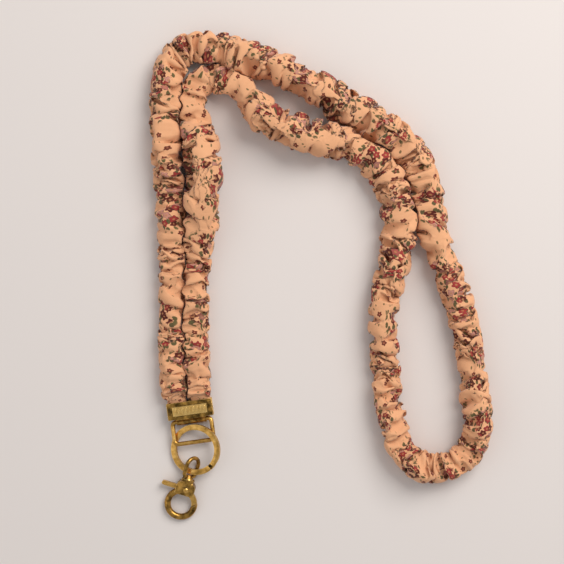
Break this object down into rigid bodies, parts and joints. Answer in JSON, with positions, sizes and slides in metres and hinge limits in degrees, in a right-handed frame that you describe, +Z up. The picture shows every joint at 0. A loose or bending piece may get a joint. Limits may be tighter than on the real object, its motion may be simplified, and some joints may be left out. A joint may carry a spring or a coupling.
{
  "type": "lanyard",
  "caption": "Gathered fabric lanyard loop whose ends meet in a fold-over clamp with a rectangular wire loop, a split ring and a swivel lever hook.",
  "frame": {"origin": "centre of the clamp's back face, where it lies on the table", "axes": "+X along the clamp's fold, +Y from the clamp up into the strap, +Z up from the table through the clamp's front"},
  "size_m": [0.1862, 0.2654, 0.0203],
  "materials": {
    "cotton": "gathered printed cotton",
    "cord": "braided",
    "antique_brass": "antique, dark in the recesses and bright on the edges",
    "bright_brass": "antique, rubbed bright",
    "spring_steel": "drawn wire"
  },
  "bodies": {
    "strap": {"fabric_sleeve": "cotton", "core_cord": "cord", "end_clamp": "antique_brass"},
    "loop": {"rectangle_loop": "bright_brass"},
    "ring": {"split_ring": "bright_brass"},
    "eye": {"swivel_eye": "antique_brass"},
    "hook": {"hook_body": "antique_brass", "lever_pin": "bright_brass", "lever_spring": "spring_steel"},
    "lever": {"hook_lever": "antique_brass"}
  },
  "joints": [
    {"name": "loop_swing", "type": "hinge", "parent": "strap", "child": "loop", "pos_m": [0, -0.005, 0.0036], "axis": [-1, 0, 0], "range_deg": [-82, 60]},
    {"name": "ring_roll", "type": "hinge", "parent": "loop", "child": "ring", "pos_m": [0, -0.0214, 0.00456], "axis": [0, -1, 0], "range_deg": [0, 151]},
    {"name": "hook_swing", "type": "hinge", "parent": "ring", "child": "eye", "pos_m": [-0.00444, -0.03278, 0.00372], "axis": [-0.9009, 0.3665, -0.2326], "range_deg": [-100, 110]},
    {"name": "hook_swivel", "type": "hinge", "parent": "eye", "child": "hook", "pos_m": [-0.00671, -0.0379, 0.00382], "axis": [0.4205, 0.9019, 0.099], "continuous": true},
    {"name": "lever_press", "type": "hinge", "parent": "hook", "child": "lever", "pos_m": [-0.00831, -0.04253, 0.00333], "axis": [0.0419, 0.0898, -0.9951], "range_deg": [0, 22], "stiffness_Nm_per_rad": 0.03, "springref_deg": -22.92}
  ]
}
